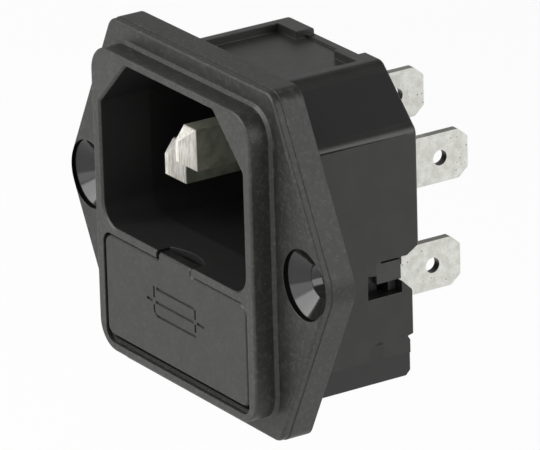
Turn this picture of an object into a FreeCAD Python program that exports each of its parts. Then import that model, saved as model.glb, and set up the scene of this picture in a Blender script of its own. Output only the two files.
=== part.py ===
import FreeCAD, Part
import math
import os

# Fused power entry module: a mains inlet with a drawer for two fuses below the socket.
# Millimetres. +X to the right seen from the front, +Y into the panel, +Z up.
# The origin is midway between the two fixing holes, on the flange face that lies on the panel.

V = FreeCAD.Vector

# Socket for the appliance coupler
socket_width = 24.0
socket_height = 16.6
socket_chamfer = 4.7            # the two sloped upper corners that key the plug
socket_corner_radius = 2.2
socket_chamfer_radius = 0.5
mouth_bevel = 0.2               # bevel along the socket's front edge
socket_floor_lag = 0.6          # socket floor behind the front of the rear cover
socket_floor_wall = 1.0         # rear wall of the socket, which holds the pins

# Contact pins
pin_width = 2.0
pin_height = 4.0
pin_pitch = 14.0                # line to neutral
row_drop = 1.95                 # line and neutral below the middle of the socket
earth_rise = 4.0                # earth pin above that row
pin_tip_recess = 4.0            # line and neutral tips behind the bezel front
earth_lead = 3.2                # the earth pin touches first
pin_bevel_length = 1.45
pin_bevel_sides = 0.75
pin_bevel_ends = 1.0            # bevel on the upper and lower edges of the tip
pin_tail = 0.7                  # pin end standing behind the socket's rear wall
pin_fit = 0.03

# Push-on tabs
tab_width = 4.8
tab_thickness = 0.8
tab_stand = 9.85                # behind the pin that carries it
load_tab_stand = 10.1           # behind the rear cover
tab_rise = 0.2                  # tab centre above its pin
tab_hole_diameter = 1.5
tab_hole_inset = 3.1
tab_bevel_length = 1.05
tab_bevel_width = 0.9
tab_round = 0.3                 # round of the four end corners
tongue_length = 1.3             # tab root staked in the slotted pin end
tongue_fit = 0.02

# Cartridge fuses, 5 x 20 mm
fuse_length = 20.0
fuse_cap_diameter = 5.2
fuse_cap_length = 5.0
fuse_cap_wall = 0.35
fuse_cap_bevel = 0.28
fuse_glass_wall = 0.45
fuse_wire_diameter = 0.3
cap_seat = 0.02

# Spring clips
clip_thickness = 0.4
clip_width = 4.0
clip_grip = 0.06                # free gap between cap and leaf
clip_reach = 1.6                # leaf in front of the fuse axis
clip_flare = 0.5
clip_back_gap = 0.25
strap_width = 2.4
strap_lift = 0.05
eye_rim = 1.0                   # strap metal round the line pin
slot_gap = 0.1
load_tab_gap = 0.2              # between the fused line tab and the chamber's roof

# Chamber for the fuses
chamber_roof = 1.2              # between the socket and the chamber
clip_headroom = 1.14
clip_footroom = 0.79
chamber_floor_wall = 1.1

# Fuse drawer
face_thickness = 2.1
face_recess = 0.05              # behind the bezel front
face_side_lip = 0.95            # face beyond the carrier at each side
face_foot = 0.65                # face below the chamber
face_corner_radius = 1.0
face_edge_bevel = 0.2
face_gap = 0.2                  # groove at the top and sides of the face
face_bottom_gap = 0.4
strip_height = 0.7              # bar of the bezel between socket and drawer
pull_width = 5.5                # pull tongue on top of the face
pull_sink = 0.1                 # its top below the socket's lower edge
pull_depth = 1.15
pull_round = 0.3
pry_radius = 6.0                # thumbnail recess behind the pull tongue
pry_reach = 1.1
pry_drop = 0.3                  # recess below the top of the face
cheek_thickness = 0.85
cheek_round = 1.5
drawer_gap = 0.2                # running clearance in the chamber, top, bottom and sides
fuse_gap = 0.15
trough_gap = 0.1
trough_front_wall = 1.1
trough_rear_wall = 0.9
clip_clearance = 0.65           # between trough and clips with the drawer shut
saddle_gap = 0.8                # between the saddle and each cap
saddle_top = 1.6                # top of the saddle above the fuse axis
saddle_mouth = 3.5

# Rear cover of the chamber
cover_thickness = 1.0
cover_ledge = 0.7               # seat at each side of the chamber
cover_ledge_height = 0.35       # seat above and below the chamber
cover_gap = 0.05
arm_height = 1.9
arm_thickness = 0.55
arm_length = 3.66               # forward of the cover's rear face
arm_recess = 0.45               # outer face of the arm inside the side wall
arm_nose_length = 1.0
arm_nose_height = 1.4
arm_nose_drop = 0.4
arm_front_gap = 0.26
arm_top_gap = 0.4
nose_top_gap = 0.1

# Bezel that stands in front of the flange
bezel_rise = 2.35
bezel_top_wall = 0.82           # above the socket
bezel_side_wall = 1.15          # beside the drawer's opening
bezel_bottom_wall = 1.12        # below the drawer's opening
bezel_corner_radius = 2.7
bezel_edge_radius = 0.25
bezel_root_bevel = 0.3
sill_height = 0.3               # shallow step along the lower edge of the drawer's opening
sill_depth = 0.5

# Fixing flange
hole_diameter = 3.3             # clears an M3 countersunk screw
countersink_diameter = 6.6
countersink_angle = 90.0
hole_land = 1.4                 # flat between the bezel and the countersink
ear_rim = 0.2                   # flange left outside the countersink
flange_rim = 1.95               # above and below the bezel
flange_side_rim = 0.2           # beside the bezel, at the sharp corners of the outline
flange_thickness = 3.2
flange_corner_radius = 1.7
flange_edge_radius = 0.3        # round along the front edge
front_lip = 0.8                 # the part of the thickness that the front mould half makes
parting_step = 0.07             # that part is this much smaller all round

# Body behind the panel
body_side_wall = 0.95           # least wall beside the socket
body_roof = 0.95                # above the socket
body_corner_radius = 0.25
body_rear_radius = 0.3
pocket_depth = 1.2              # shallow pocket behind the socket, for pin ends and strap
pocket_wall = 1.2               # rim round that pocket
pocket_slope_shift = 0.5        # the pocket's sloped corners start below the outer ones
shoulder_overhang = 0.25        # the sloped shoulder stands out over the side wall
overhang_rear = 0.05            # what is left of it at its rear end
shoulder_margin = 0.8           # run of the outer shoulder beyond the socket's chamfer
shoulder_setback = 1.1          # the overhang stops this far before the rear edge
crown_radius = 1.2
shoulder_radius = 1.2           # round at the foot of the shoulder
rail_width = 1.1                # rails left along the top on each side of the sunk panel
top_panel_depth = 0.5
top_panel_start = 0.5
left_lug_inner_x = 2.15         # two lugs are left level with the rails at the rear
right_lug_inner_x = 4.4
lug_length = 3.0
skirt_height = 2.25             # lower strip of the side wall, set in a little
skirt_inset = 0.12
skirt_rear_setback = 0.34
skirt_rear_bevel = 0.5
nub_width = 1.3                 # sloped snap nub low on each side wall
nub_height = 1.5
nub_rise = 0.2
nub_setback = 5.6               # front of the nub before the body's rear
nub_drop = 6.3                  # top of the nub below the chamber's roof
window_above = 1.65             # arm window in the side wall, above and below the roof's level
window_below = 1.8
notch_rise = 0.85               # slope from the rear edge down to the window
notch_run = 1.4
notch_round = 0.5
post_front = 0.2                # sloped post under the arm starts this far before the cover's rear
post_gap = 0.05                 # between its top and the arm
low_wall_lag = 0.93             # rear edge of the side wall beside the cover, behind the cover
nick_drop = 6.1                 # small nick in that edge, below the chamber's roof
nick_depth = 0.6
nick_slope = 0.15
nick_height = 0.55

# Modelling allowances
cut_margin = 1.0                # how far a cut runs past the surface that it opens
weld = 0.5                      # how far two volumes of one piece run into each other

# Widths that follow, outwards from the fuses and the socket
fuse_half = fuse_length / 2
trough_end = fuse_half + fuse_gap
drawer_half = trough_end + cheek_thickness
chamber_half = drawer_half + drawer_gap
cover_half = chamber_half + cover_ledge
arm_inner = cover_half + cover_gap
arm_outer = arm_inner + arm_thickness
socket_half = socket_width / 2
body_half = max(socket_half + body_side_wall, arm_outer + arm_recess)
pocket_half = body_half - pocket_wall
face_half = drawer_half + face_side_lip
opening_half = face_half + face_gap
bezel_half = max(socket_half, opening_half) + bezel_side_wall
flange_top_half = bezel_half + flange_side_rim
hole_x = bezel_half + hole_land + countersink_diameter / 2
ear_radius = countersink_diameter / 2 + ear_rim
shoulder_half = body_half + shoulder_overhang
shoulder_run = socket_chamfer + shoulder_margin
crown_half = shoulder_half - shoulder_run
pin_x = pin_pitch / 2
clip_x = fuse_half - fuse_cap_length / 2

# Heights that follow: the bezel is a stack of what it frames, and the fixing holes are level
# with its middle
cap_radius = fuse_cap_diameter / 2
glass_radius = cap_radius - fuse_cap_wall - cap_seat
leaf_gap = cap_radius + clip_grip
clip_half_height = leaf_gap + clip_thickness + clip_flare
chamber_height = clip_headroom + 2 * clip_half_height + clip_footroom
bezel_height = (bezel_top_wall + socket_height + chamber_roof + chamber_height
                + face_foot + face_bottom_gap + bezel_bottom_wall)
bezel_top = bezel_height / 2
flange_top = bezel_top + flange_rim
socket_top = bezel_top - bezel_top_wall
socket_bottom = socket_top - socket_height
pin_row_level = (socket_top + socket_bottom) / 2 - row_drop
earth_level = pin_row_level + earth_rise
chamber_top = socket_bottom - chamber_roof
chamber_bottom = chamber_top - chamber_height
fuse_z = chamber_top - clip_headroom - clip_half_height
drawer_top = chamber_top - drawer_gap
drawer_bottom = chamber_bottom + drawer_gap
opening_top = socket_bottom - strip_height
opening_bottom = chamber_bottom - face_foot - face_bottom_gap
face_top = opening_top - face_gap
face_bottom = opening_bottom + face_bottom_gap
pull_top = socket_bottom - pull_sink
body_top = socket_top + body_roof
body_bottom = chamber_bottom - chamber_floor_wall
shoulder_level = body_top - shoulder_run
window_top = chamber_top + window_above
window_bottom = chamber_top - window_below
arm_top = window_top - arm_top_gap
arm_bottom = arm_top - arm_height

# Depths that follow, from the front to the rear
flange_front = -flange_thickness
parting_plane = flange_front + front_lip
bezel_front = flange_front - bezel_rise
face_front = bezel_front + face_recess
face_back = face_front + face_thickness
trough_radius = cap_radius + trough_gap
spare_y = face_back + trough_front_wall + trough_radius
trough_rear = spare_y + trough_radius + trough_rear_wall
fuse_y = trough_rear + clip_clearance + clip_flare + clip_reach
clip_front = fuse_y + cap_radius + clip_back_gap
cover_front = clip_front + clip_thickness
cover_rear = cover_front + cover_thickness
socket_floor = cover_front + socket_floor_lag
socket_back = socket_floor + socket_floor_wall
pin_rear = socket_back + pin_tail
body_depth = socket_back + pocket_depth
low_wall_rear = cover_rear + low_wall_lag
skirt_rear = low_wall_rear - skirt_rear_setback
line_tip = bezel_front + pin_tip_recess


def block(x0, x1, y0, y1, z0, z1):
    """Rectangular solid between two corners."""
    return Part.makeBox(x1 - x0, y1 - y0, z1 - z0, V(x0, y0, z0))


def outline(corners):
    """Closed face in the XZ plane through (x, z, radius) corners; a corner of radius 0 is sharp."""
    edges = []
    ends = []
    count = len(corners)
    for i in range(count):
        before = corners[i - 1]
        x, z, radius = corners[i]
        after = corners[(i + 1) % count]
        here = V(x, 0, z)
        back = V(before[0] - x, 0, before[1] - z).normalize()
        ahead = V(after[0] - x, 0, after[1] - z).normalize()
        if radius <= 0:
            ends.append((here, here))
            continue
        half_turn = back.getAngle(ahead) / 2
        start = here + back * (radius / math.tan(half_turn))
        finish = here + ahead * (radius / math.tan(half_turn))
        middle = here + (back + ahead).normalize() * (radius / math.sin(half_turn) - radius)
        edges.append(Part.Arc(start, middle, finish).toShape())
        ends.append((start, finish))
    for i in range(count):
        leave = ends[i][1]
        arrive = ends[(i + 1) % count][0]
        if leave.distanceToPoint(arrive) > 1e-6:
            edges.append(Part.makeLine(leave, arrive))
    return Part.Face(Part.Wire(Part.__sortEdges__(edges)))


def prism(corners, y0, y1):
    """Solid of an XZ outline from y0 to y1."""
    face = outline(corners)
    face.translate(V(0, y0, 0))
    return face.extrude(V(0, y1 - y0, 0))


def side_prism(corners, x0, x1):
    """Solid of a YZ outline, given as (y, z, radius) corners, from x0 to x1."""
    face = outline(corners)
    face.rotate(V(0, 0, 0), V(0, 0, 1), 90)
    face.translate(V(x0, 0, 0))
    return face.extrude(V(x1 - x0, 0, 0))


def plan_prism(corners, z0, z1):
    """Solid of an XY polygon, given as (x, y) corners, from z0 to z1."""
    points = [V(x, y, z0) for x, y in corners]
    face = Part.Face(Part.makePolygon(points + points[:1]))
    return face.extrude(V(0, 0, z1 - z0))


def rectangle(half_width, bottom, top, radius):
    """Corners of a rectangle about x = 0, all with one radius."""
    return [(-half_width, bottom, radius), (half_width, bottom, radius),
            (half_width, top, radius), (-half_width, top, radius)]


def rod(radius, x0, x1, y, z):
    """Cylinder along X."""
    return Part.makeCylinder(radius, x1 - x0, V(x0, y, z), V(1, 0, 0))


def mirrored(shape):
    """The same shape on the other side of the plane x = 0."""
    return shape.mirror(V(0, 0, 0), V(1, 0, 0))


def edges_at(shape, y, half_width=math.inf, half_height=math.inf):
    """Edges that lie wholly in the plane at y and inside a rectangle about the origin."""
    slack = 1e-3
    found = []
    for edge in shape.Edges:
        box = edge.BoundBox
        in_plane = abs(box.YMin - y) < slack and abs(box.YMax - y) < slack
        across = max(-box.XMin, box.XMax) < half_width + slack
        along = max(-box.ZMin, box.ZMax) < half_height + slack
        if in_plane and across and along:
            found.append(edge)
    return found


def flange_corners(shrink):
    """Six-cornered flange outline whose slanted sides run into the ears, made smaller by shrink."""
    inset = hole_x - flange_top_half
    reach = math.hypot(inset, flange_top)
    lean = math.atan2(inset, flange_top) + math.asin(ear_radius / reach)
    top = flange_top - shrink
    ear = hole_x + (ear_radius - shrink) / math.cos(lean)
    corner = flange_top_half - shrink * math.tan(math.pi / 4 - lean / 2)
    radius = flange_corner_radius - shrink
    return [(-corner, -top, radius), (corner, -top, radius), (ear, 0, ear_radius - shrink),
            (corner, top, radius), (-corner, top, radius), (-ear, 0, ear_radius - shrink)]


def socket_corners():
    """Socket outline with two sloped upper corners."""
    slope_start = socket_top - socket_chamfer
    slope_end = socket_half - socket_chamfer
    return [(-socket_half, socket_bottom, socket_corner_radius),
            (socket_half, socket_bottom, socket_corner_radius),
            (socket_half, slope_start, socket_chamfer_radius),
            (slope_end, socket_top, socket_chamfer_radius),
            (-slope_end, socket_top, socket_chamfer_radius),
            (-socket_half, slope_start, socket_chamfer_radius)]


def overhang():
    """Thin ledge along the foot of the right-hand shoulder, fading towards the rear."""
    ends = []
    for y, size in ((0, shoulder_overhang), (body_depth - shoulder_setback, overhang_rear)):
        ends.append(Part.makePolygon([V(body_half, y, shoulder_level),
                                      V(body_half + size, y, shoulder_level),
                                      V(body_half, y, shoulder_level + size),
                                      V(body_half, y, shoulder_level)]))
    return Part.makeLoft(ends, True, True)


def body_shell():
    """Outside of the body behind the panel, before any opening is cut."""
    foot = shoulder_level + shoulder_overhang
    core = prism([(-body_half, body_bottom, body_corner_radius),
                  (body_half, body_bottom, body_corner_radius),
                  (body_half, foot, shoulder_radius),
                  (crown_half, body_top, crown_radius),
                  (-crown_half, body_top, crown_radius),
                  (-body_half, foot, shoulder_radius)], 0, body_depth)
    core = core.makeFillet(body_rear_radius, edges_at(core, body_depth))
    return core.fuse([overhang(), mirrored(overhang())])


def top_panel():
    """What is sunk into the top of the body, between the rails and the two rear lugs."""
    inner = crown_half - rail_width
    lug_front = body_depth - lug_length
    rear = body_depth + cut_margin
    return plan_prism([(-inner, top_panel_start), (inner, top_panel_start), (inner, lug_front),
                       (right_lug_inner_x, lug_front), (right_lug_inner_x, rear),
                       (-left_lug_inner_x, rear), (-left_lug_inner_x, lug_front),
                       (-inner, lug_front)], body_top - top_panel_depth, body_top + cut_margin)


def screw_hole(x):
    """Through hole with its countersink from the flange front."""
    radius = hole_diameter / 2
    wide = countersink_diameter / 2
    depth = (wide - radius) / math.tan(math.radians(countersink_angle / 2))
    start = V(x, flange_front - cut_margin, 0)
    through = Part.makeCylinder(radius, flange_thickness + 2 * cut_margin, start, V(0, 1, 0))
    mouth = Part.makeCylinder(wide, cut_margin, start, V(0, 1, 0))
    cone = Part.makeCone(wide, radius, depth, V(x, flange_front, 0), V(0, 1, 0))
    return through.fuse([cone, mouth])


def side_cuts():
    """Arm window, notch and rear steps of the right-hand side wall."""
    window_front = cover_rear - arm_length - arm_front_gap
    rear = body_depth + cut_margin
    outside = shoulder_half + cut_margin
    below = body_bottom - cut_margin
    post_y = cover_rear - post_front
    post_top = arm_bottom - post_gap
    window = side_prism([(window_front, window_bottom, 0), (post_y, window_bottom, 0),
                         (post_y, post_top, 0), (rear, post_top, 0),
                         (rear, window_top, 0), (window_front, window_top, 0)],
                        cover_half, outside)
    vent = block(chamber_half - weld, outside, window_front, cover_front,
                 window_bottom, arm_bottom)
    nick_top = chamber_top - nick_drop
    notch_front = body_depth - notch_run
    notch = side_prism([(rear, window_top + notch_rise, 0),
                        (body_depth, window_top + notch_rise, notch_round),
                        (notch_front, window_top, 0),
                        (post_y, post_top, 0),
                        (low_wall_rear, window_bottom, notch_round),
                        (low_wall_rear, nick_top, 0),
                        (low_wall_rear - nick_depth, nick_top - nick_slope, 0),
                        (skirt_rear, nick_top - nick_height, 0),
                        (skirt_rear, below, 0),
                        (rear, below, 0)], pocket_half, outside)
    skirt = block(body_half - skirt_inset, outside, 0, rear, below, body_bottom + skirt_height)
    return [window, vent, notch, skirt]


def side_nub():
    """Sloped nub low on the right-hand side wall."""
    top = chamber_top - nub_drop
    front = body_depth - nub_setback
    inner = body_half - weld
    return plan_prism([(inner, front), (body_half, front),
                       (body_half + nub_rise, front + nub_width),
                       (inner, front + nub_width)], top - nub_height, top)


def pin_slots():
    """The three rectangular holes through the socket's rear wall."""
    half_w = pin_width / 2 + pin_fit
    half_h = pin_height / 2 + pin_fit
    return [block(x - half_w, x + half_w, socket_floor - cut_margin, socket_back + cut_margin,
                  z - half_h, z + half_h)
            for x, z in ((0, earth_level), (pin_x, pin_row_level), (-pin_x, pin_row_level))]


def rear_pocket():
    """Shallow pocket behind the socket, where the pin ends and the strap lie."""
    top = body_top - top_panel_depth - pocket_wall
    slope = shoulder_level - pocket_slope_shift
    crown = pocket_half - (top - slope)
    return prism([(-pocket_half, chamber_top, 0), (pocket_half, chamber_top, 0),
                  (pocket_half, slope, 0), (crown, top, 0), (-crown, top, 0),
                  (-pocket_half, slope, 0)], socket_back, body_depth + cut_margin)


def bottom_bevel():
    """What is cut off along the rear edge of the underside."""
    y = skirt_rear + cut_margin
    z = body_bottom - cut_margin
    size = skirt_rear_bevel + 2 * cut_margin
    return side_prism([(y, z, 0), (y, z + size, 0), (y - size, z, 0)],
                      -body_half - cut_margin, body_half + cut_margin)


def drawer_opening():
    """Opening in the bezel for the drawer face, its sill, the pull's notch and thumbnail recess."""
    ahead = bezel_front - cut_margin
    radius = face_corner_radius + face_gap
    opening = prism(rectangle(opening_half, opening_bottom, opening_top, radius),
                    ahead, face_back + face_gap)
    sill = prism(rectangle(opening_half, opening_bottom - sill_height, opening_top, radius),
                 ahead, bezel_front + sill_depth)
    half = pull_width / 2 + face_gap
    pull_rear = face_front + pull_depth + face_gap
    notch = block(-half, half, ahead, pull_rear, face_top, socket_bottom + weld)
    pry_centre = face_front + pull_depth + pry_reach - pry_radius
    pry_bottom = face_top - pry_drop
    recess = Part.makeCylinder(pry_radius, socket_bottom + weld - pry_bottom,
                               V(0, pry_centre, pry_bottom), V(0, 0, 1))
    return [opening, sill, notch, recess]


def front_plate():
    """Flange in two mould halves with the bezel on it, pierced by the socket."""
    rear_half = prism(flange_corners(0), parting_plane, 0)
    front_half = prism(flange_corners(parting_step), flange_front, parting_plane)
    front_half = front_half.makeFillet(flange_edge_radius, edges_at(front_half, flange_front))
    bezel = prism(rectangle(bezel_half, -bezel_top, bezel_top, bezel_corner_radius),
                  bezel_front, flange_front)
    bezel = bezel.makeFillet(bezel_edge_radius, edges_at(bezel, bezel_front))
    front = front_half.fuse(bezel)
    front = front.makeChamfer(bezel_root_bevel,
                              edges_at(front, flange_front, bezel_half, bezel_top))
    front = front.cut(prism(socket_corners(), bezel_front - cut_margin, parting_plane))
    mouth = edges_at(front, bezel_front, socket_half, socket_top)
    return front.makeChamfer(mouth_bevel, mouth).fuse(rear_half)


def front_housing():
    """Flange, bezel, socket, fuse chamber and body, moulded as one piece."""
    shell = body_shell().cut(top_panel())
    shell = shell.fuse([front_plate(), side_nub(), mirrored(side_nub())])
    rear = body_depth + cut_margin
    cuts = [prism(socket_corners(), parting_plane, socket_floor), rear_pocket(), bottom_bevel()]
    cuts += pin_slots()
    cuts += [screw_hole(hole_x), screw_hole(-hole_x)]
    cuts += drawer_opening()
    cuts.append(block(-chamber_half, chamber_half, face_back - weld, rear,
                      chamber_bottom, chamber_top))
    cuts.append(block(-cover_half, cover_half, cover_front, rear,
                      chamber_bottom - cover_ledge_height, chamber_top + cover_ledge_height))
    cuts.append(block(-cover_half, cover_half, skirt_rear, rear,
                      body_bottom - cut_margin, chamber_bottom))
    for cut in side_cuts():
        cuts += [cut, mirrored(cut)]
    return shell.cut(cuts).removeSplitter()


def rear_cover():
    """Plate that closes the fuse chamber, with a snap arm on each side."""
    half = cover_half - cover_gap
    bottom = chamber_bottom - cover_ledge_height + cover_gap
    top = chamber_top + cover_ledge_height - cover_gap
    plate = block(-half, half, cover_front, cover_rear, bottom, top)
    front = cover_rear - arm_length
    nose_rear = front + arm_nose_length
    nose_top = window_top - nose_top_gap
    nose = plan_prism([(arm_inner, front), (arm_outer - arm_nose_drop, front),
                       (arm_outer, nose_rear), (arm_outer, nose_rear + weld),
                       (arm_inner, nose_rear + weld)], nose_top - arm_nose_height, nose_top)
    bar = block(arm_inner, arm_outer, nose_rear, cover_rear, arm_bottom, arm_top)
    arm = bar.fuse(nose)
    root = block(half - weld, arm_outer - arm_nose_drop / 2, cover_front + cover_gap, cover_rear,
                 arm_bottom, top)
    cover = plate.fuse([arm, root, mirrored(arm), mirrored(root)])
    ahead = cover_front - cut_margin
    behind = cover_rear + cut_margin
    strap_half = strap_width / 2 + slot_gap
    strap_slot = block(-pin_x - strap_half, -pin_x + strap_half, ahead, behind,
                       strap_bottom() - slot_gap, top + cut_margin)
    tab_half = tab_thickness / 2 + slot_gap
    tab_slot = block(pin_x - tab_half, pin_x + tab_half, ahead, behind,
                     load_tab_bottom() - slot_gap, top + cut_margin)
    return cover.cut([strap_slot, tab_slot]).removeSplitter()


def contact_pin(x, z, tip, slotted):
    """Rectangular pin with a four-sided bevelled tip; a slotted rear end holds a tab."""
    half_w = pin_width / 2
    half_h = pin_height / 2
    base = tip + pin_bevel_length
    bar = block(x - half_w, x + half_w, base, pin_rear, z - half_h, z + half_h)
    tip_w = half_w - pin_bevel_sides
    tip_h = half_h - pin_bevel_ends
    point = Part.makeWedge(x - tip_w, tip, z - tip_h, z - half_h, x - half_w,
                           x + tip_w, base, z + tip_h, z + half_h, x + half_w)
    pin = bar.fuse(point)
    if slotted:
        half_t = tab_thickness / 2 + tongue_fit
        pin = pin.cut(block(x - half_t, x + half_t, pin_rear - tongue_length - tongue_fit,
                            pin_rear + cut_margin, z - half_h - cut_margin,
                            z + half_h + cut_margin))
    return pin.removeSplitter()


def blade(x, z, root, end):
    """Push-on tab in a plane of constant x, with bevelled end corners and its latch hole."""
    half = tab_width / 2
    low = z - half
    high = z + half
    shoulder = end - tab_bevel_length
    tab = side_prism([(root, low, 0), (shoulder, low, tab_round),
                      (end, low + tab_bevel_width, tab_round),
                      (end, high - tab_bevel_width, tab_round), (shoulder, high, tab_round),
                      (root, high, 0)], x - tab_thickness / 2, x + tab_thickness / 2)
    hole = rod(tab_hole_diameter / 2, x - tab_thickness, x + tab_thickness,
               end - tab_hole_inset, z)
    return tab.cut(hole)


def pin_tab(x, z):
    """Tab whose tongue is staked in the slot of a pin at (x, z)."""
    half_h = pin_height / 2
    tongue = block(x - tab_thickness / 2, x + tab_thickness / 2, pin_rear - tongue_length,
                   pin_rear + weld, z - half_h, z + half_h)
    tab = blade(x, z + tab_rise, pin_rear, pin_rear + tab_stand)
    return tab.fuse(tongue).removeSplitter()


def strap_bottom():
    """Underside of the strap where it runs back from the line clip."""
    return fuse_z + leaf_gap + clip_thickness + strap_lift


def load_tab_bottom():
    """Lower edge of the fused line tab: its top edge clears the chamber roof."""
    return chamber_top - load_tab_gap - tab_width


def fuse_clip():
    """U-shaped spring clip round the right-hand fuse cap, open to the front."""
    x0 = clip_x - clip_width / 2
    x1 = clip_x + clip_width / 2
    tip = fuse_y - clip_reach
    outer = leaf_gap + clip_thickness
    back = block(x0, x1, clip_front, cover_front, fuse_z - outer, fuse_z + outer)
    leaves = []
    for side in (1, -1):
        profile = [(cover_front, side * leaf_gap), (tip, side * leaf_gap),
                   (tip - clip_flare, side * (leaf_gap + clip_flare)),
                   (tip - clip_flare, side * (outer + clip_flare)),
                   (tip, side * outer), (cover_front, side * outer)]
        leaves.append(side_prism([(y, fuse_z + dz, 0) for y, dz in profile], x0, x1))
    return back.fuse(leaves)


def load_fuse_clip():
    """Clip of the fused line, in one piece with the tab that leaves the rear cover."""
    tab = blade(pin_x, load_tab_bottom() + tab_width / 2, clip_front, cover_rear + load_tab_stand)
    return fuse_clip().fuse(tab).removeSplitter()


def line_fuse_clip():
    """Clip at the incoming end, in one piece with the strap up to the eye on the line pin."""
    left = -pin_x - strap_width / 2
    right = -pin_x + strap_width / 2
    run_low = strap_bottom()
    run_high = run_low + clip_thickness
    plate_front = socket_back + strap_lift
    plate_rear = plate_front + clip_thickness
    riser = block(left, right, clip_front, cover_front, fuse_z + leaf_gap, run_high)
    run = block(left, right, clip_front, plate_rear, run_low, run_high)
    upright = block(left, right, plate_front, plate_rear, run_low, pin_row_level)
    half_w = pin_width / 2 + pin_fit
    half_h = pin_height / 2 + pin_fit
    wide = half_w + eye_rim
    tall = half_h + eye_rim
    eye = prism([(-pin_x - wide, pin_row_level - tall, eye_rim),
                 (-pin_x + wide, pin_row_level - tall, eye_rim),
                 (-pin_x + wide, pin_row_level + tall, eye_rim),
                 (-pin_x - wide, pin_row_level + tall, eye_rim)], plate_front, plate_rear)
    hole = block(-pin_x - half_w, -pin_x + half_w, plate_front - cut_margin,
                 plate_rear + cut_margin, pin_row_level - half_h, pin_row_level + half_h)
    clip = mirrored(fuse_clip()).fuse([riser, run, upright, eye])
    return clip.cut(hole).removeSplitter()


def drawer_front():
    """Drawer face with the pull tongue on its top edge."""
    half = pull_width / 2
    pull_rear = face_front + pull_depth
    shield = prism([(-face_half, face_bottom, face_corner_radius),
                    (face_half, face_bottom, face_corner_radius),
                    (face_half, face_top, face_corner_radius),
                    (half, face_top, pull_round), (half, pull_top, pull_round),
                    (-half, pull_top, pull_round), (-half, face_top, pull_round),
                    (-face_half, face_top, face_corner_radius)], face_front, pull_rear)
    shield = shield.makeChamfer(face_edge_bevel, edges_at(shield, face_front))
    plate = prism(rectangle(face_half, face_bottom, face_top, face_corner_radius),
                  pull_rear, face_back)
    return shield.fuse(plate)


def fuse_cradle():
    """Saddle under the glass of the fuse in use, open above, and the cheek beside its right end."""
    rear = fuse_y + cap_radius
    cheek = block(trough_end, drawer_half, trough_rear - weld, rear, drawer_bottom, drawer_top)
    corners = [e for e in edges_at(cheek, rear) if e.BoundBox.ZMax - e.BoundBox.ZMin < weld]
    cheek = cheek.makeFillet(cheek_round, corners)
    half = fuse_half - fuse_cap_length - saddle_gap
    saddle = block(-half, half, trough_rear - weld, rear, drawer_bottom, fuse_z + saddle_top)
    seat = rod(glass_radius + trough_gap, -half, half, fuse_y, fuse_z)
    mouth = block(-half, half, fuse_y - saddle_mouth / 2, fuse_y + saddle_mouth / 2,
                  fuse_z, drawer_top)
    return [cheek, mirrored(cheek), saddle.cut([seat.common(saddle), mouth])]


def fuse_drawer():
    """Drawer: front, trough for the spare fuse and open cradle for the fuse in use."""
    carrier = block(-drawer_half, drawer_half, face_back, trough_rear, drawer_bottom, drawer_top)
    trough = rod(trough_radius, -trough_end, trough_end, spare_y, fuse_z)
    mouth = block(-trough_end, trough_end, spare_y - trough_radius, spare_y + trough_radius,
                  fuse_z, drawer_top + cut_margin)
    body = drawer_front().fuse(carrier).cut([trough, mouth])
    return body.fuse(fuse_cradle()).removeSplitter()


def fuse_glass(y):
    """Glass tube whose ends stand in the caps."""
    half = fuse_half - fuse_cap_wall - cap_seat
    tube = rod(glass_radius, -half, half, y, fuse_z)
    return tube.cut(rod(glass_radius - fuse_glass_wall, -half, half, y, fuse_z))


def fuse_cap(y):
    """Right-hand end cap: a thin cup with its closed end bevelled."""
    open_end = fuse_half - fuse_cap_length
    cup = rod(cap_radius, open_end, fuse_half, y, fuse_z)
    rim = [e for e in cup.Edges if abs(e.BoundBox.XMin - fuse_half) < 1e-4]
    cup = cup.makeChamfer(fuse_cap_bevel, rim)
    bore = rod(cap_radius - fuse_cap_wall, open_end, fuse_half - fuse_cap_wall, y, fuse_z)
    return cup.cut(bore)


def fuse_wire(y):
    """Fusible wire, soldered to the inside of both caps."""
    half = fuse_half - fuse_cap_wall
    return rod(fuse_wire_diameter / 2, -half, half, y, fuse_z)


pieces = {
    "front_housing": front_housing(),
    "rear_cover": rear_cover(),
    "earth_pin": contact_pin(0, earth_level, line_tip - earth_lead, True),
    "neutral_pin": contact_pin(pin_x, pin_row_level, line_tip, True),
    "line_pin": contact_pin(-pin_x, pin_row_level, line_tip, False),
    "earth_tab": pin_tab(0, earth_level),
    "neutral_tab": pin_tab(pin_x, pin_row_level),
    "line_fuse_clip": line_fuse_clip(),
    "load_fuse_clip": load_fuse_clip(),
    "fuse_drawer": fuse_drawer(),
}
for prefix, y in (("fuse", fuse_y), ("spare_fuse", spare_y)):
    pieces[prefix + "_glass"] = fuse_glass(y)
    pieces[prefix + "_cap_right"] = fuse_cap(y)
    pieces[prefix + "_cap_left"] = mirrored(fuse_cap(y))
    pieces[prefix + "_wire"] = fuse_wire(y)

os.makedirs("parts", exist_ok=True)
for name, shape in pieces.items():
    shape.exportStep("parts/" + name + ".step")
    print(name, "solids", len(shape.Solids), "valid", shape.isValid(),
          "volume", round(shape.Volume, 2))
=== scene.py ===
"""Looks of the fused power entry module: camera, light, finishes, the engraved fuse sign, and the
rimmed screw holes, bar ends and sunk top of the housing."""

import math

import bmesh
import bpy
import numpy as np
from mathutils import Matrix, Vector


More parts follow.
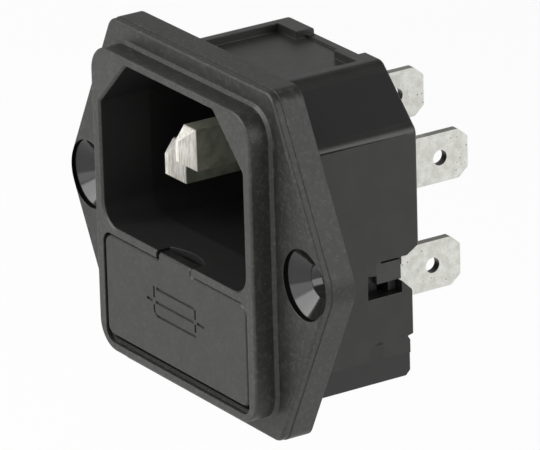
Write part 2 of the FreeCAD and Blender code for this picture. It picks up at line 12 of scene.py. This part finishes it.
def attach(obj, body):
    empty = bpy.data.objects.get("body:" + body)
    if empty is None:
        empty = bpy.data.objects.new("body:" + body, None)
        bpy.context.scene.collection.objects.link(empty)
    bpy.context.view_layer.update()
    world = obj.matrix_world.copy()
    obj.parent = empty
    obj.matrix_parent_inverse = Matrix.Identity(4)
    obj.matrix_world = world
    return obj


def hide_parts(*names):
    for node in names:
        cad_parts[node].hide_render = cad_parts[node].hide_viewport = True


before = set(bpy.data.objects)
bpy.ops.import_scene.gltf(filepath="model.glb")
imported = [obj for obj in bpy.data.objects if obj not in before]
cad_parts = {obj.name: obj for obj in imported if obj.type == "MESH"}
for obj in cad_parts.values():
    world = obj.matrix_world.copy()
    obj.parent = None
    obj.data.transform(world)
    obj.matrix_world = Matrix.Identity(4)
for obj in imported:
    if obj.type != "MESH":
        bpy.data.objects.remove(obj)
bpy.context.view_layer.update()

MM = 0.001

# Camera, as the photograph was taken: degrees and millimetres
CAMERA_AZIMUTH = 57.16
CAMERA_ELEVATION = 20.76
CAMERA_ROLL = -1.636
CAMERA_DISTANCE = 622.6
CAMERA_TARGET = (7.818, 0.0, 1.964)
CAMERA_LENS = 458.65

# Floor and light
FLOOR_LEVEL = -52.0
FLOOR_SIZE = 3000.0
FLOOR_GLOW = 0.84
HORIZON_TOP = 0.62               # sine of the height that the pale surround reaches
SIDE_LEVEL = 0.9                 # the surround to the right and behind the part's right side
LEFT_LEVEL = 0.4
ROOF_LEVEL = 0.18
GLOSS_SHARE = 0.2                # how far the low surround turns white in reflections
HORIZON_SOFT = 0.05
SOFTBOXES = (                    # name, place, size and watts
    ("key_front", (-190.0, -480.0, 420.0), (620.0, 560.0), 5.2),
    ("fill_front", (220.0, -560.0, 170.0), (300.0, 340.0), 0.5),
    ("rear_strip", (560.0, 360.0, 250.0), (300.0, 420.0), 1.2),
)
LIGHT_AIM = (0.0, 3.0, 0.0)

# Engraved fuse sign on the drawer face: each stroke's ends, x and z in millimetres
SIGN_STROKES = (
    (-3.20, -6.33, 3.13, -6.33),
    (-3.62, -6.20, -3.62, -7.32),
    (3.32, -6.38, 3.32, -7.38),
    (-4.87, -7.68, -3.92, -7.68),
    (-3.38, -7.70, 3.06, -7.70),
    (3.60, -7.67, 4.82, -7.67),
    (3.32, -7.84, 3.32, -8.66),
    (-3.64, -8.02, -3.64, -8.66),
    (-3.64, -8.66, -3.26, -9.02),
    (-3.26, -9.02, 3.36, -9.02),
)
SIGN_FACE = -5.5
SIGN_WIDTH = 0.3
SIGN_FLOOR_WIDTH = 0.22
SIGN_DEPTH = 0.15

# Where the finishes, the painted light and the painted shade change
BEZEL_FACE = -5.4                # just behind the bezel's front
INSIDE_HALF = 12.25              # the socket's hollow and the drawer's opening, where painted shade makes the plastic nearly black
INSIDE_TOP = 14.2
INSIDE_LOW = -13.9
INSIDE_FRONT = -5.33
LOW_SHADE_LEVEL = -11.5               # below it the body's wall is painted darker, as shade
DRAWER_GRAIN_END = -3.4          # the moulding grain stops here on the drawer's sides
EARTH_TIP = -4.75
LINE_TIP = -1.55
PAINTED_TIP_LENGTH = 1.45              # length of a pin's tip that is painted bright, as lit
TAB_LEVELS = (8.05, 4.05, -6.3)
TAB_START = 13.9                 # where the tabs leave the body
TAB_LEFTMOST = -3.5
TAB_WORN = 20.5                  # pits crowd behind it
LATCH_HOLE = (17.15, 20.05)      # y before and behind the latch holes
LATCH_HALF = 1.35

# Screw holes: a short straight rim, then the cone; y and radius of its profile
HOLE_PITCH = 36.0
HOLE_RIM = (-3.16, -2.65)        # y just behind the flange's front, and of the rim's foot
HOLE_PROFILE = ((-4.2, 3.32), (HOLE_RIM[1], 3.32), (-1.28, 1.66), (0.6, 1.66))
HOLE_FINISH_RADIUS = 3.37
HOLE_SIDES = 96

# Sunk panel on top of the body, and the low rim behind it, with the two lugs left standing
PANEL_OUTLINE = ((-6.61, 0.49), (6.61, 0.49), (6.61, 10.7), (2.85, 10.7), (2.85, 12.05),
                 (-3.6, 12.05), (-3.6, 10.83), (-6.61, 10.83))
PANEL_LEVEL = 14.24
RIM_OUTLINE = ((-3.6, 11.4), (5.1, 11.4), (5.1, 13.2), (-3.6, 13.2))
RIM_LEVEL = 14.45
LUG_OUTLINE = ((2.85, 10.7), (6.9, 10.7), (6.9, 11.4), (2.85, 11.4))
BODY_TOP = 15.05
LUG_SINK = 0.1                   # how far a lug reaches into the panel under it
CUT_OVER = 1.0                   # how far the cuts reach above the body

# Bar between socket and drawer, y and z of its section, and where it ends beside the pull tongue
BAR_SECTION = ((-5.55, -3.2), (-5.55, -2.7), (-5.35, -2.5), (-3.2, -2.5), (-3.2, -3.2))
BAR_ENDS = (2.95, 6.4)


def srgb(red, green, blue):
    """Linear colour of an sRGB colour from 0 to 255: the standard curve, with its straight foot."""
    def lin(value):
        part = value / 255.0
        return part / 12.92 if part <= 0.04045 else ((part + 0.055) / 1.055) ** 2.4
    return (lin(red), lin(green), lin(blue), 1.0)


class Sock:
    """One shader socket; arithmetic on it adds Math nodes to its material's tree."""

    def __init__(self, tree, socket):
        self.tree = tree
        self.socket = socket

    def node(self, kind, sets=None, output=0, **values):
        """Adds any node: its settings first, then each input by name or number."""
        made = self.tree.nodes.new(kind)
        for key, value in (sets or {}).items():
            setattr(made, key, value)
        for key, value in values.items():
            slot = made.inputs[int(key[1:]) if key[1:].isdigit() else key.replace("_", " ")]
            if isinstance(value, Sock):
                self.tree.links.new(value.socket, slot)
            else:
                slot.default_value = value
        return Sock(self.tree, made.outputs[output])

    def math(self, operation, *others):
        values = {"i%d" % i: value for i, value in enumerate((self,) + others)}
        return self.node("ShaderNodeMath", {"operation": operation}, **values)

    def __add__(self, other):
        return self.math("ADD", other)

    __radd__ = __add__

    def __mul__(self, other):
        return self.math("MULTIPLY", other)

    __rmul__ = __mul__

    def __sub__(self, other):
        return self.math("SUBTRACT", other)

    def __rsub__(self, other):
        return (self * -1.0) + other

    def __pow__(self, other):
        return self.math("POWER", other)

    def __abs__(self):
        return self.math("ABSOLUTE")

    def least(self, other):
        return self.math("MINIMUM", other)

    def most(self, other):
        return self.math("MAXIMUM", other)

    def ramp(self, low, high, start=0.0, end=1.0):
        """Smooth step from start to end as the value goes from low to high."""
        return self.node("ShaderNodeMapRange", {"interpolation_type": "SMOOTHSTEP"},
                         i0=self, i1=low, i2=high, i3=start, i4=end)

    def above(self, level, soft):
        """Mask that is 1 above the level; its soft step reaches as far to either side."""
        return self.ramp(level - soft, level + soft)

    def below(self, level, soft):
        """Mask that is 1 below the level."""
        return self.ramp(level + soft, level - soft)

    def parts(self):
        """The x, y and z of a vector."""
        split = self.node("ShaderNodeSeparateXYZ", i0=self).socket.node
        return [Sock(self.tree, output) for output in split.outputs]


def ray_kinds(tree):
    """1 for a ray from the camera, for a mirrored one and for one through glass, in that order."""
    path = tree.nodes.new("ShaderNodeLightPath")
    return [Sock(tree, path.outputs["Is %s Ray" % kind])
            for kind in ("Camera", "Glossy", "Transmission")]


class Finish:
    """A material with one Principled shader, the sockets that read object coordinates, and how
    far the surface faces sideways, along X."""

    def __init__(self, name):
        self.material = bpy.data.materials.new(name)
        self.material.use_nodes = True
        self.tree = self.material.node_tree
        self.tree.nodes.clear()
        output = self.tree.nodes.new("ShaderNodeOutputMaterial")
        self.shader = self.tree.nodes.new("ShaderNodeBsdfPrincipled")
        self.tree.links.new(self.shader.outputs[0], output.inputs[0])
        coordinates = self.tree.nodes.new("ShaderNodeTexCoord")
        self.place = Sock(self.tree, coordinates.outputs["Object"])
        self.x, self.y, self.z = (part * (1 / MM) for part in self.place.parts())
        self.sideways = abs(Sock(self.tree, coordinates.outputs["Normal"]).parts()[0])

    def noise(self, size, detail=3.0, roughness=0.55, stretch=(1.0, 1.0, 1.0)):
        """Cloudy noise from 0 to 1 whose blotches are about size millimetres."""
        scale = tuple(1 / (size * MM * s) for s in stretch)
        mapped = self.place.node("ShaderNodeMapping", i0=self.place, i3=scale)
        return mapped.node("ShaderNodeTexNoise", {"noise_dimensions": "3D"}, Vector=mapped,
                           Scale=1.0, Detail=detail, Roughness=roughness)

    def grains(self, size):
        """Distance to the nearest of scattered points, size millimetres apart."""
        mapped = self.place.node("ShaderNodeMapping", i0=self.place, i3=(1 / (size * MM),) * 3)
        return mapped.node("ShaderNodeTexVoronoi", {"feature": "F1"}, Vector=mapped, Scale=1.0)

    def mix(self, factor, first, second):
        """Colour between two colours."""
        return self.place.node("ShaderNodeMix", {"data_type": "RGBA"}, output=2,
                               i0=factor, i6=first, i7=second)

    def bump(self, height, strength=1.0, distance=0.01, edge=0.0):
        """Bumps whose full height is distance millimetres, over edges rounded by edge."""
        values = {"Strength": strength, "Distance": distance * MM, "Height": height}
        if edge:
            values["Normal"] = height.node("ShaderNodeBevel", {"samples": 6}, Radius=edge * MM)
        return height.node("ShaderNodeBump", **values)

    def put(self, **inputs):
        """Sets or links the shader's inputs."""
        for key, value in inputs.items():
            slot = self.shader.inputs[key.replace("_", " ")]
            if isinstance(value, Sock):
                self.tree.links.new(value.socket, slot)
            else:
                slot.default_value = value
        return self.material


def moulded_housing(name):
    """Glass-filled black polyamide: sparkling grain in front, paler on the bezel's face, smooth
    behind the panel; painted shade darkens the body's wall low down and makes the socket's hollow
    and the chamber nearly black; glossy in the countersinks; painted shade makes the rims of the
    screw holes nearly black."""
    f = Finish(name)
    front = f.y.below(0.0, 0.1)
    face = f.y.below(BEZEL_FACE, 0.05)
    from_hole = ((abs(f.x) - HOLE_PITCH / 2) ** 2.0 + f.z ** 2.0) ** 0.5
    cone = from_hole.below(HOLE_FINISH_RADIUS, 0.03)
    # painted shade: the rims of the screw holes, just behind the flange's front, are painted nearly
    # black
    hole_rim_painted_shade = cone * f.y.above(HOLE_RIM[0], 0.03) * f.y.below(HOLE_RIM[1], 0.05)
    # painted shade: the hollow of the socket and the chamber is painted nearly black
    socket_painted_shade = (abs(f.x).below(INSIDE_HALF, 0.05) * f.z.below(INSIDE_TOP, 0.05)
              * f.z.above(INSIDE_LOW, 0.05) * f.y.above(INSIDE_FRONT, 0.13))
    cloud = f.noise(2.2, 4.0)
    fine = f.noise(0.2, 2.0, 0.6)
    grain = f.noise(0.42, 2.0, 0.65)
    speck = f.grains(0.38).ramp(0.2, 0.08) * f.noise(0.5, 1.0).ramp(0.56, 0.64) * front
    flow = f.noise(0.8, 3.0, 0.6, (1.0, 1.0, 6.0))
    base = f.mix(cloud.ramp(0.3, 0.7), srgb(28, 28, 26), srgb(34, 34, 32))
    base = f.mix(face, base, f.mix(cloud.ramp(0.3, 0.7), srgb(38, 38, 36), srgb(45, 45, 43)))
    base = f.mix(grain.ramp(0.45, 0.75) * front * 0.22, base, srgb(92, 91, 87))
    base = f.mix(speck * 0.3, base, srgb(140, 138, 130))
    # painted shade: the body's wall behind the flange is painted darker low down
    low_wall_painted_shade = (1 - front) * f.z.below(LOW_SHADE_LEVEL, 0.12)
    base = f.mix(low_wall_painted_shade, base, srgb(22, 22, 21))
    # painted shade of the socket's hollow and the chamber
    base = f.mix(socket_painted_shade, base, srgb(13, 13, 13))
    base = f.mix(cone, base, srgb(30, 30, 29))
    # painted shade of the screw holes' rims
    base = f.mix(hole_rim_painted_shade, base, srgb(5, 5, 5))
    rough = front * 0.10 + 0.38 + (fine - 0.5) * 0.14 + (flow - 0.5) * 0.1 * (1 - front)
    rough = rough * (1 - cone) + cone * 0.12 + hole_rim_painted_shade * 0.6 + socket_painted_shade * 0.12
    height = (grain * 0.6 + fine * 0.4) * front * (1 - cone) + flow * 0.25 * (1 - front)
    # the rims' metallic share keeps them dark in reflections, as painted shade
    return f.put(Base_Color=base, Roughness=rough, Metallic=hole_rim_painted_shade * 0.8,
                 Normal=f.bump(height, 1.0, 0.016, 0.12), IOR=1.5)


def moulded_drawer(name):
    """The same black polyamide on the drawer: fine pale grain on its face, smooth behind it."""
    f = Finish(name)
    face = f.y.below(SIGN_FACE + 0.07, 0.05)
    front = f.y.below(DRAWER_GRAIN_END, 0.1)
    cloud = f.noise(1.9, 4.0)
    fine = f.noise(0.2, 2.0, 0.6)
    grain = f.noise(0.45, 2.0, 0.65)
    base = f.mix(cloud.ramp(0.3, 0.7), srgb(15, 15, 15), srgb(20, 20, 19))
    base = f.mix(face, base, f.mix(cloud.ramp(0.3, 0.7), srgb(28, 28, 27), srgb(35, 35, 33)))
    base = f.mix(grain.ramp(0.5, 0.78) * front * 0.16, base, srgb(92, 91, 87))
    height = (grain * 0.5 + fine * 0.5) * front
    return f.put(Base_Color=base, Roughness=0.44 + (fine - 0.5) * 0.14,
                 Normal=f.bump(height, 1.0, 0.012, 0.12), IOR=1.5)


def moulded_cover(name):
    """Smooth black plastic of the rear cover, with faint flow clouds."""
    f = Finish(name)
    cloud = f.noise(1.8, 4.0, 0.6, (2.0, 1.0, 0.7))
    fine = f.noise(0.25, 2.0)
    base = f.mix(cloud.ramp(0.3, 0.7), srgb(44, 44, 43), srgb(54, 54, 52))
    return f.put(Base_Color=base, Roughness=0.40 + (fine - 0.5) * 0.15,
                 Normal=f.bump(fine, 1.0, 0.006, 0.1), IOR=1.5)


def plated_contact(name, tip):
    """Nickel-plated brass pin: its bevelled tip, whose y is given, is satin and painted bright, as
    lit;
    behind it the body is drawn along Y and painted dark olive, as shade."""
    f = Finish(name)
    # painted light and shade: the tip bright as lit, the body behind it dark as shade
    painted_lit_tip = f.y.below(tip + PAINTED_TIP_LENGTH, 0.15)
    lines = f.noise(0.05, 2.0, 0.6, (1.0, 40.0, 1.0))
    tooled = f.noise(0.12, 2.0, 0.6, (1.0, 1.0, 12.0))
    cloud = f.noise(1.1, 3.0)
    painted_shade_body = f.mix(cloud.ramp(0.35, 0.7), srgb(130, 131, 118), srgb(106, 108, 95))
    painted_lit_colour = f.mix(tooled.ramp(0.35, 0.65), srgb(244, 242, 236), srgb(206, 201, 190))
    return f.put(Base_Color=f.mix(painted_lit_tip, painted_shade_body, painted_lit_colour), Metallic=0.35 + 0.3 * painted_lit_tip,
                 Roughness=0.26 + lines * 0.12 + painted_lit_tip * 0.16 + cloud * 0.06,
                 Normal=f.bump(lines * 0.6 + tooled * painted_lit_tip * 0.8, 0.6, 0.006))


def tab_middle(f):
    """1 near the middle line of any of the three tabs, and 0 at their edges."""
    away = [abs(f.z - level) for level in TAB_LEVELS]
    return away[0].least(away[1]).least(away[2]).below(LATCH_HALF, 0.15)


def plated_tab(name):
    """Tin-plated tabs: pale, satin, mottled, with pits that crowd towards the sheared rear end.
    Their sheared edges are duller and darker, and the walls of their latch holes are darker still
    with painted shade."""
    f = Finish(name)
    cloud = f.noise(0.8, 4.0)
    fine = f.noise(0.14, 3.0, 0.7)
    near_end = f.y.above(TAB_WORN, 1.3)
    pit = (f.grains(0.42).ramp(0.26, 0.12)
           * (f.noise(0.7, 1.0) + near_end * 0.13).ramp(0.61, 0.69))
    base = f.mix(cloud.ramp(0.3, 0.7), srgb(223, 223, 218), srgb(202, 202, 194))
    base = f.mix(fine.ramp(0.45, 0.8) * 0.6, base, srgb(170, 170, 161))
    base = f.mix(pit * 0.7, base, srgb(96, 92, 82))
    sheared = f.sideways.below(0.7, 0.1) * f.y.above(TAB_START, 0.3) * f.x.above(TAB_LEFTMOST, 0.5)
    # the latch holes' walls: dull sheared metal, darkened further by painted shade
    hole_wall_dull_and_shade = (sheared * f.y.above(LATCH_HOLE[0], 0.15) * f.y.below(LATCH_HOLE[1], 0.15)
               * tab_middle(f))
    base = f.mix(sheared, base, srgb(138, 137, 128))
    base = f.mix(hole_wall_dull_and_shade, base, srgb(74, 72, 66))
    return f.put(Base_Color=base, Metallic=0.75, Roughness=0.38 + (fine - 0.5) * 0.25 + pit * 0.3,
                 Normal=f.bump(fine * 0.6 - pit, 1.0, 0.014))


def fuse_glass(name):
    """Clear soda glass tube with a trace of dust."""
    f = Finish(name)
    dust = f.noise(0.7, 4.0)
    return f.put(Base_Color=srgb(246, 250, 248), Roughness=0.02 + dust.ramp(0.5, 0.8) * 0.1,
                 Transmission_Weight=1.0, IOR=1.5)


def fuse_cap(name):
    """Nickel-plated brass caps, turned: rings round X and a warm tint where the plating is thin."""
    f = Finish(name)
    rings = f.noise(0.06, 2.0, 0.6, (1.0, 30.0, 30.0))
    cloud = f.noise(1.6, 3.0)
    base = f.mix(cloud.ramp(0.45, 0.75), srgb(206, 204, 198), srgb(196, 182, 150))
    return f.put(Base_Color=base, Metallic=1.0, Roughness=0.20 + rings * 0.16,
                 Normal=f.bump(rings, 0.5, 0.003))


def fuse_link(name):
    """Tinned copper wire."""
    f = Finish(name)
    cloud = f.noise(0.5, 3.0)
    base = f.mix(cloud.ramp(0.4, 0.7), srgb(196, 190, 182), srgb(176, 138, 108))
    return f.put(Base_Color=base, Metallic=1.0, Roughness=0.3 + cloud * 0.2)


def aim(thing, place, target, roll=0.0):
    """Puts thing at place and points its -Z axis at target; both in millimetres."""
    back = (Vector(place) - Vector(target)).normalized()
    side = Vector((0, 0, 1)).cross(back).normalized()
    up = back.cross(side)
    right = math.cos(roll) * side + math.sin(roll) * up
    top = -math.sin(roll) * side + math.cos(roll) * up
    matrix = Matrix((right, top, back)).transposed().to_4x4()
    matrix.translation = Vector(place) * MM
    thing.matrix_world = matrix


def make_camera():
    """Long lens at the photograph's angle."""
    azimuth, elevation = math.radians(CAMERA_AZIMUTH), math.radians(CAMERA_ELEVATION)
    back = Vector((math.sin(azimuth) * math.cos(elevation),
                   -math.cos(azimuth) * math.cos(elevation), math.sin(elevation)))
    data = bpy.data.cameras.new("camera")
    data.lens = CAMERA_LENS
    data.sensor_width = 36.0
    data.clip_start, data.clip_end = 0.01, 20.0
    camera = bpy.data.objects.new("camera", data)
    bpy.context.scene.collection.objects.link(camera)
    aim(camera, Vector(CAMERA_TARGET) + back * CAMERA_DISTANCE, CAMERA_TARGET,
        math.radians(CAMERA_ROLL))
    bpy.context.scene.camera = camera


def softbox(name, place, size, watts):
    """Oblong area light turned to the part; place and size in millimetres."""
    data = bpy.data.lights.new(name, "AREA")
    data.shape = "RECTANGLE"
    data.size, data.size_y = size[0] * MM, size[1] * MM
    data.energy = watts
    light = bpy.data.objects.new(name, data)
    bpy.context.scene.collection.objects.link(light)
    aim(light, place, LIGHT_AIM)


def make_world():
    """White studio: plain white to the camera and through glass. What lights the object is a pale
    surround up to a certain height, whiter on the right than on the left and a little whiter in
    reflections, and a dim roof."""
    world = bpy.data.worlds.new("studio")
    world.use_nodes = True
    bpy.context.scene.world = world
    tree = world.node_tree
    tree.nodes.clear()
    output = tree.nodes.new("ShaderNodeOutputWorld")
    place = Sock(tree, tree.nodes.new("ShaderNodeTexCoord").outputs["Generated"])
    across, _, height = place.parts()
    low = height.below(HORIZON_TOP, HORIZON_SOFT)
    side = across.ramp(-0.3, 0.5, LEFT_LEVEL, SIDE_LEVEL)
    level = ROOF_LEVEL + low * (side - ROOF_LEVEL)
    seen, glossy, through = ray_kinds(tree)
    white = seen.most(through).most(glossy * low * GLOSS_SHARE)
    strength = white + (1 - white) * level
    background = place.node("ShaderNodeBackground", Color=(1.0, 1.0, 1.0, 1.0), Strength=strength)
    tree.links.new(background.socket, output.inputs[0])


def make_floor():
    """Plain matt white floor. Most of its white is given off to the camera and in reflections, so
    that it stays pale, and the rest keeps the part's shadow. The part stands clear of it, as if
    held by its fixing holes."""
    half = FLOOR_SIZE / 2 * MM
    mesh = bpy.data.meshes.new("floor")
    mesh.from_pydata([(-half, -half, FLOOR_LEVEL * MM), (half, -half, FLOOR_LEVEL * MM),
                      (half, half, FLOOR_LEVEL * MM), (-half, half, FLOOR_LEVEL * MM)],
                     [], [(0, 1, 2, 3)])
    floor = bpy.data.objects.new("floor", mesh)
    bpy.context.scene.collection.objects.link(floor)
    material = bpy.data.materials.new("studio_floor")
    material.use_nodes = True
    tree = material.node_tree
    tree.nodes.clear()
    output = tree.nodes.new("ShaderNodeOutputMaterial")
    seen, glossy, through = ray_kinds(tree)
    matt = seen.node("ShaderNodeBsdfDiffuse", Color=(0.9, 0.9, 0.9, 1.0))
    glow = seen.node("ShaderNodeEmission", Color=(1.0, 1.0, 1.0, 1.0), Strength=1.0)
    share = seen.most(through).most(glossy) * FLOOR_GLOW
    both = seen.node("ShaderNodeMixShader", i0=share, i1=matt, i2=glow)
    tree.links.new(both.socket, output.inputs[0])
    mesh.materials.append(material)


def merged_copy(node, name):
    """A copy of a CAD piece with its loose triangles joined."""
    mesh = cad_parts[node].data.copy()
    mesh.name = name
    joined = bmesh.new()
    joined.from_mesh(mesh)
    bmesh.ops.remove_doubles(joined, verts=joined.verts, dist=0.0005 * MM)
    joined.to_mesh(mesh)
    joined.free()
    piece = bpy.data.objects.new(name, mesh)
    bpy.context.scene.collection.objects.link(piece)
    return piece


def closed_skins(name, skins):
    """Closed skins in one object. Each skin is an array of rings of points in millimetres: walls
    join point i of a ring to point i of the next, and the first and last rings are capped."""
    faces = []
    start = 0
    for rings in skins:
        count, size = rings.shape[:2]
        step = np.arange(size)
        turn = (step + 1) % size
        low = start + size * np.arange(count - 1)[:, None]
        walls = np.stack((step + low, step + low + size, turn + low + size, turn + low), axis=-1)
        faces += walls.reshape(-1, 4).tolist()
        faces += [(start + step).tolist(), (start + size * (count - 1) + step[::-1]).tolist()]
        start += count * size
    points = np.concatenate([rings.reshape(-1, 3) for rings in skins]) * MM
    mesh = bpy.data.meshes.new(name)
    mesh.from_pydata(points.tolist(), [], faces)
    turned = bmesh.new()
    turned.from_mesh(mesh)
    bmesh.ops.recalc_face_normals(turned, faces=turned.faces)
    turned.to_mesh(mesh)
    turned.free()
    tool = bpy.data.objects.new(name, mesh)
    bpy.context.scene.collection.objects.link(tool)
    return tool


def stroke_skins():
    """One bar for each stroke of the sign. A corner of a bar is the stroke's end plus or minus
    across * half width; the half width is less at the groove's floor, so its sides slant."""
    strokes = np.array(SIGN_STROKES)
    first, last = strokes[:, :2], strokes[:, 2:]
    along = (last - first) / np.linalg.norm(last - first, axis=1, keepdims=True)
    across = np.stack((-along[:, 1], along[:, 0]), axis=1)
    rings = []
    for depth, width in ((-SIGN_DEPTH, SIGN_WIDTH), (0.0, SIGN_WIDTH),
                         (SIGN_DEPTH, SIGN_FLOOR_WIDTH)):
        half = width / 2
        ring = np.stack((first - across * half, last - across * half,
                         last + across * half, first + across * half), axis=1)
        level = np.full(ring.shape[:2] + (1,), SIGN_FACE + depth)
        rings.append(np.concatenate((ring[:, :, :1], level, ring[:, :, 1:]), axis=2))
    return list(np.stack(rings, axis=1))


def hole_skin(x):
    """Surface of revolution about the screw hole's axis: (x + r cos a, y, r sin a) for each y and
    radius r of the profile."""
    angle = np.linspace(0.0, 2 * np.pi, HOLE_SIDES + 1)[:-1]
    level, radius = (np.array(HOLE_PROFILE)[:, i, None] for i in (0, 1))
    return np.stack((x + radius * np.cos(angle), level + 0 * angle, radius * np.sin(angle)),
                    axis=-1)


def plan_skin(outline, low, high):
    """Upright prism of an outline of x and y, from the height low to high."""
    plan = np.array(outline)
    return np.stack([np.column_stack((plan, np.full(len(plan), z))) for z in (low, high)])


def bar_skin(side):
    """Prism of the bar's section along X, on one side of the pull tongue."""
    section = np.array(BAR_SECTION)
    return np.stack([np.column_stack((np.full(len(section), side * x), section)) for x in BAR_ENDS])


def carve(piece, steps, material):
    """Applies each step, an operation and its closed skins, to the piece, and finishes it."""
    tools = []
    for operation, skins in steps:
        tool = closed_skins("tool", skins)
        cut = piece.modifiers.new("carve", "BOOLEAN")
        cut.operation = operation
        cut.solver = "EXACT"
        cut.use_self = len(skins) > 1
        cut.object = tool
        tools.append(tool)
    ready = piece.evaluated_get(bpy.context.evaluated_depsgraph_get())
    mesh = bpy.data.meshes.new_from_object(ready)
    piece.modifiers.clear()
    piece.data = mesh
    for tool in tools:
        bpy.data.objects.remove(tool)
    mesh.materials.clear()
    mesh.materials.append(material)
    mesh.shade_flat()


def make_engraved_drawer(material):
    """The fuse drawer with the fuse sign cut into its face."""
    piece = merged_copy("fuse_drawer", "drawer_with_fuse_sign")
    carve(piece, [("DIFFERENCE", stroke_skins())], material)
    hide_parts("fuse_drawer")
    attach(piece, "drawer")


def make_finished_housing(material):
    """The housing with rimmed screw holes, the bar square-ended beside the pull tongue, and the
    sunk top panel with its lugs and rear rim."""
    piece = merged_copy("front_housing", "housing_with_rimmed_holes")
    above = BODY_TOP + CUT_OVER
    carve(piece, [("UNION", [plan_skin(LUG_OUTLINE, PANEL_LEVEL - LUG_SINK, BODY_TOP)]),
                  ("UNION", [bar_skin(1.0), bar_skin(-1.0)]),
                  ("DIFFERENCE", [hole_skin(HOLE_PITCH / 2)]),
                  ("DIFFERENCE", [hole_skin(-HOLE_PITCH / 2)]),
                  ("DIFFERENCE", [plan_skin(PANEL_OUTLINE, PANEL_LEVEL, above)]),
                  ("DIFFERENCE", [plan_skin(RIM_OUTLINE, RIM_LEVEL, above)])], material)
    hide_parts("front_housing")
    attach(piece, "housing")


FINISHES = {
    moulded_housing("housing_black_plastic"): ("front_housing",),
    moulded_drawer("drawer_black_plastic"): ("fuse_drawer",),
    moulded_cover("cover_black_plastic"): ("rear_cover",),
    plated_contact("nickel_earth_contact", EARTH_TIP): ("earth_pin",),
    plated_contact("nickel_contact", LINE_TIP): ("neutral_pin", "line_pin"),
    plated_tab("tin_tab"): ("earth_tab", "neutral_tab", "line_fuse_clip", "load_fuse_clip"),
    fuse_glass("fuse_glass_clear"): ("fuse_glass", "spare_fuse_glass"),
    fuse_cap("fuse_cap_nickel"): ("fuse_cap_left", "fuse_cap_right",
                                  "spare_fuse_cap_left", "spare_fuse_cap_right"),
    fuse_link("fuse_wire_tinned"): ("fuse_wire", "spare_fuse_wire"),
}

for material, nodes in FINISHES.items():
    for node in nodes:
        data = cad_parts[node].data
        data.materials.clear()
        data.materials.append(material)

make_engraved_drawer(bpy.data.materials["drawer_black_plastic"])
make_finished_housing(bpy.data.materials["housing_black_plastic"])
make_camera()
make_world()
make_floor()
for name, place, size, watts in SOFTBOXES:
    softbox(name, place, size, watts)
bpy.context.scene.view_settings.view_transform = "Standard"
